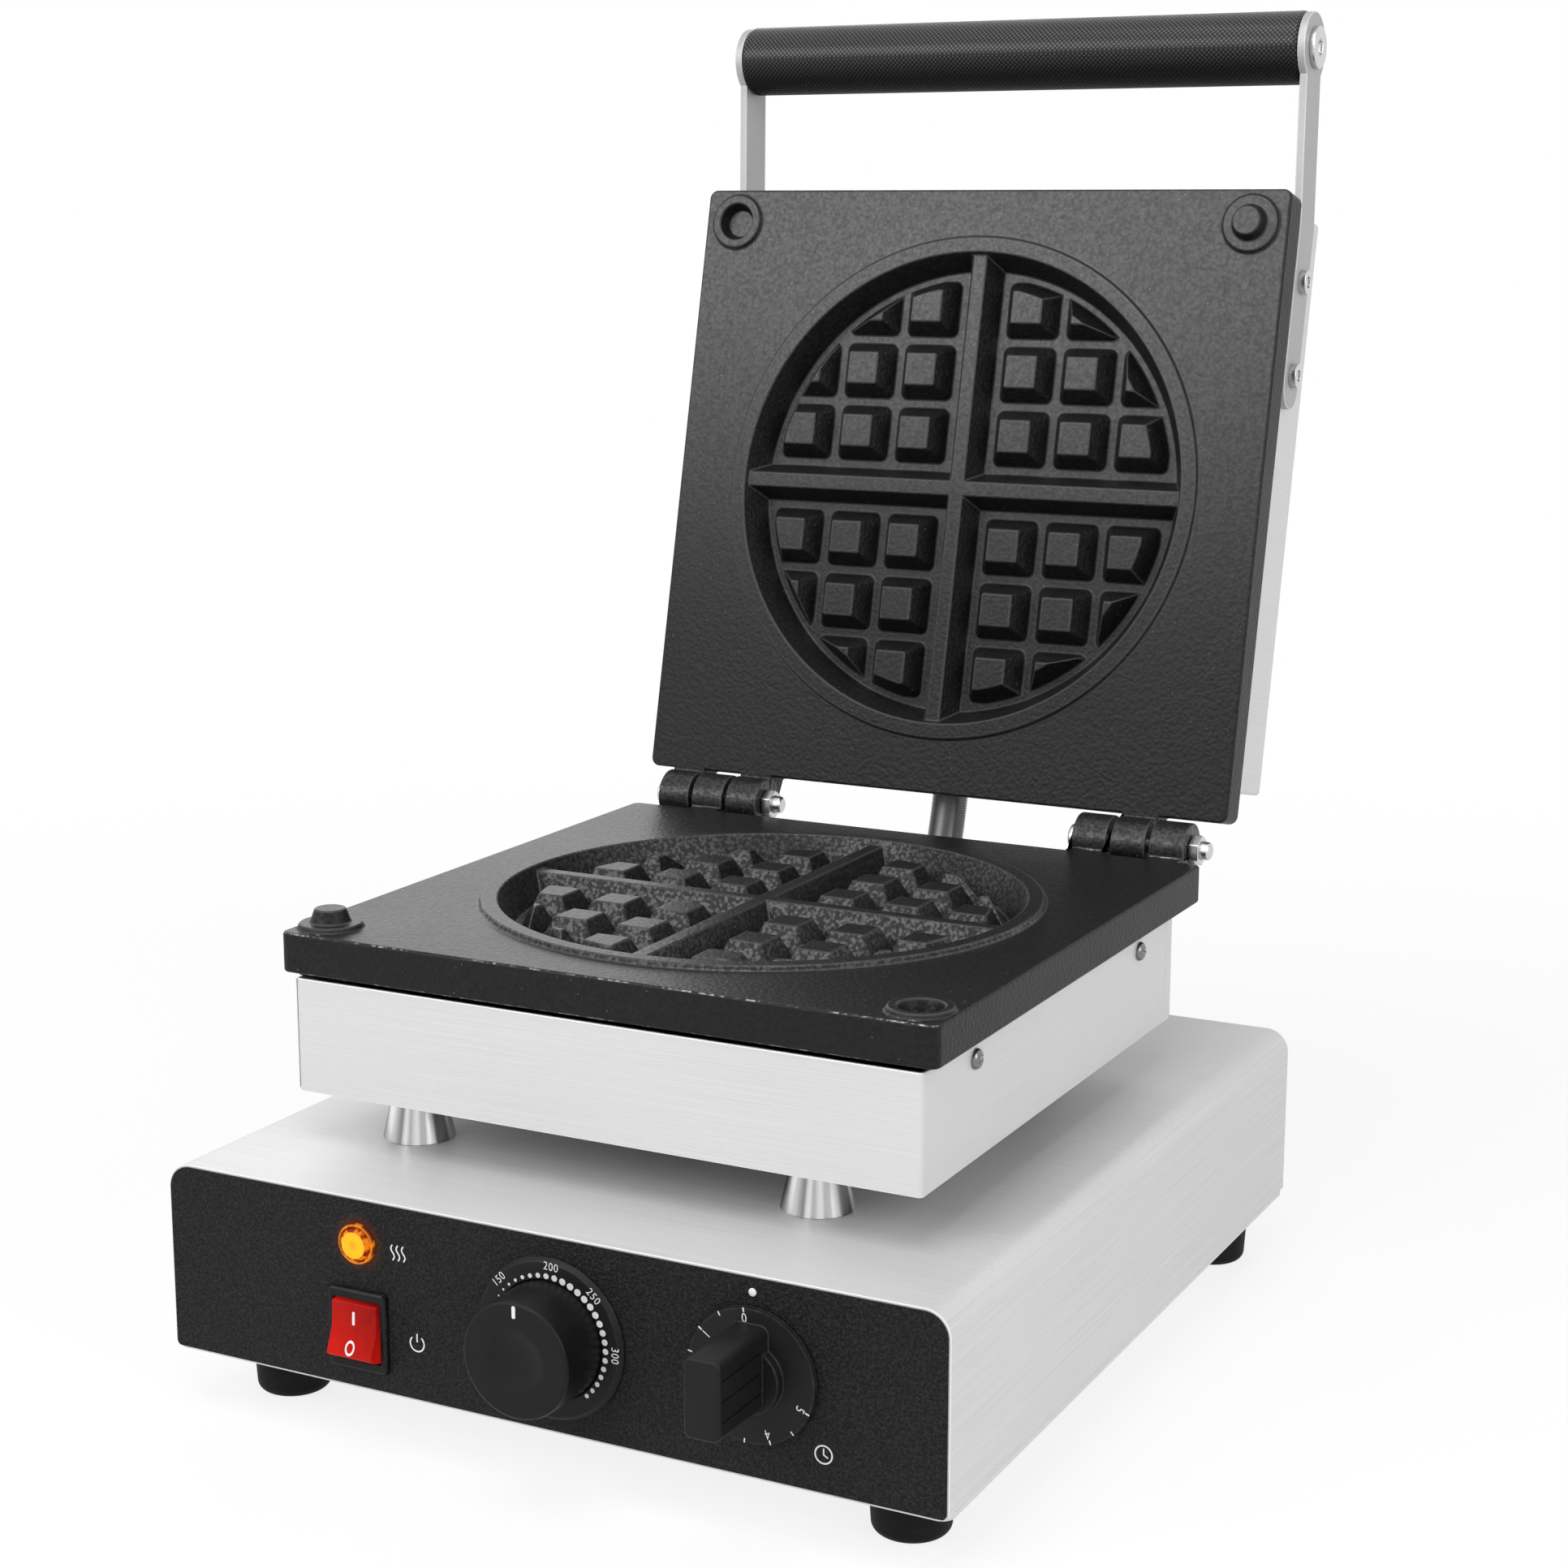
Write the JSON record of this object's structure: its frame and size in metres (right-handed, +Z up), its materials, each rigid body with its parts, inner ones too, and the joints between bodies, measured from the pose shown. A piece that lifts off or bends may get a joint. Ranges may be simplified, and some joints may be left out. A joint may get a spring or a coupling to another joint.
{
  "type": "waffle maker",
  "caption": "Table-top electric waffle maker: a steel control base with dials carries a hinged pair of black cast plates with a round gridded pocket and a cross handle.",
  "frame": {"origin": "middle of the footprint on the table, level with the undersides of the feet", "axes": "+X to the user's right, +Y to the back, +Z up; the control panel faces -Y"},
  "size_m": [0.332, 0.5, 0.5472],
  "materials": {
    "brushed_steel": "fine brushed stainless sheet",
    "black_casting": "black non-stick coat over a pebbled casting",
    "panel_film": "black leather-grain film",
    "foot_rubber": "matt black rubber",
    "turned_aluminium": "turned aluminium",
    "fastener_steel": "bright zinc-plated steel",
    "hose_steel": "bright ribbed steel",
    "grip_plastic": "black knurled plastic",
    "knob_plastic": "satin black plastic",
    "lamp_bezel": "amber plastic rim",
    "lamp_orange": "amber lens",
    "rocker_red": "red translucent plastic",
    "control_body": "dark moulded plastic",
    "heater_steel": "heat-tinted steel",
    "mineral_wool": "pale mineral wool"
  },
  "bodies": {
    "base": {"base_cover": "brushed_steel", "base_tray": "brushed_steel", "cable_gland": "knob_plastic", "conduit_hose": "hose_steel", "control_overlay": "panel_film", "foot_front_left": "foot_rubber", "foot_front_right": "foot_rubber", "foot_rear_left": "foot_rubber", "foot_rear_right": "foot_rubber", "foot_screws": "fastener_steel", "front_panel": "brushed_steel", "hinge_bolts": "fastener_steel", "hinge_nuts": "fastener_steel", "hose_gland_lower": "hose_steel", "housing_nuts": "fastener_steel", "lamp_body": "lamp_bezel", "lamp_lens": "lamp_orange", "lower_casing": "brushed_steel", "lower_casing_screws": "fastener_steel", "lower_clamp": "heater_steel", "lower_clamp_screws": "fastener_steel", "lower_heater": "heater_steel", "lower_insulation": "mineral_wool", "lower_plate": "black_casting", "panel_nuts": "fastener_steel", "rear_panel": "brushed_steel", "spacer_bolts": "fastener_steel", "spacer_front_left": "turned_aluminium", "spacer_front_right": "turned_aluminium", "spacer_rear_left": "turned_aluminium", "spacer_rear_right": "turned_aluminium", "switch_body": "knob_plastic", "terminal_block": "control_body", "thermostat_body": "control_body", "thermostat_bulb": "fastener_steel", "thermostat_dial": "knob_plastic", "timer_body": "control_body", "tray_screws": "fastener_steel"},
    "lid": {"upper_plate": "black_casting", "upper_casing": "brushed_steel", "upper_casing_screws": "fastener_steel", "upper_heater": "heater_steel", "upper_clamp": "heater_steel", "upper_clamp_screws": "fastener_steel", "upper_insulation": "mineral_wool", "arm_left": "brushed_steel", "arm_right": "brushed_steel", "arm_screws": "fastener_steel", "arm_nuts": "fastener_steel", "handle_rod": "fastener_steel", "handle_grip": "grip_plastic", "handle_bolts": "fastener_steel", "hose_gland_upper": "hose_steel", "hose_nut_upper": "fastener_steel"},
    "thermostat": {"thermostat_knob": "knob_plastic", "thermostat_shaft": "fastener_steel"},
    "timer": {"timer_knob": "knob_plastic", "timer_shaft": "fastener_steel"},
    "rocker": {"power_rocker": "rocker_red"}
  },
  "joints": [
    {"name": "lid_hinge", "type": "hinge", "parent": "base", "child": "lid", "pos_m": [0, 0.147, 0.18755], "axis": [1, 0, 0], "range_deg": [0, 103], "deforming": ["conduit_hose"]},
    {"name": "thermostat_turn", "type": "hinge", "parent": "base", "child": "thermostat", "pos_m": [0.008, -0.1856, 0.061], "axis": [0, 1, 0], "range_deg": [-57, 138]},
    {"name": "timer_turn", "type": "hinge", "parent": "base", "child": "timer", "pos_m": [0.091, -0.1856, 0.0636], "axis": [0, 1, 0], "range_deg": [0, 247]},
    {"name": "rocker_tilt", "type": "hinge", "parent": "base", "child": "rocker", "pos_m": [-0.077, -0.1856, 0.0482], "axis": [1, 0, 0], "range_deg": [0, 26]}
  ]
}
